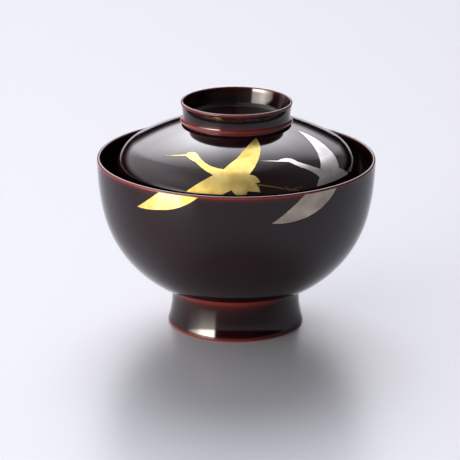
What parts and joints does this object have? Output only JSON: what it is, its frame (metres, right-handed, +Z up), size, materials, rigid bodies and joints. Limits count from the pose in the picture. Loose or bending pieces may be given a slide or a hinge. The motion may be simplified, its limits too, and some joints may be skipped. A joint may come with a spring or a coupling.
{
  "type": "lidded rice bowl",
  "caption": "Round lacquered wooden rice bowl on a flared foot, with a domed lid that sits inside the rim and lifts off by a ring-shaped knob, and flying cranes in gold and silver.",
  "frame": {"origin": "centre of the foot's ring, on the table the bowl stands on", "axes": "+Z up along the turning axis, -Y towards the front, where the gold crane is, +X to the right seen from the front"},
  "size_m": [0.121, 0.121, 0.1003],
  "materials": {
    "bowl_lacquer": "gloss lacquer",
    "lid_lacquer": "gloss lacquer",
    "gold": "satin",
    "dark_gold": "satin",
    "bright_gold": "satin",
    "silver": "satin",
    "dark_silver": "satin",
    "warm_silver": "satin"
  },
  "bodies": {
    "bowl": {"bowl": "bowl_lacquer", "gold_wing_tip": "bright_gold", "silver_wing_tip": "warm_silver"},
    "lid": {"lid": "lid_lacquer", "gold_crane": "gold", "gold_legs": "dark_gold", "silver_crane": "silver", "silver_legs": "dark_silver"}
  },
  "joints": [
    {"name": "lid_lift", "type": "slide", "parent": "bowl", "child": "lid", "axis": [0, 0, 1], "range_m": [0, 0.06]}
  ]
}
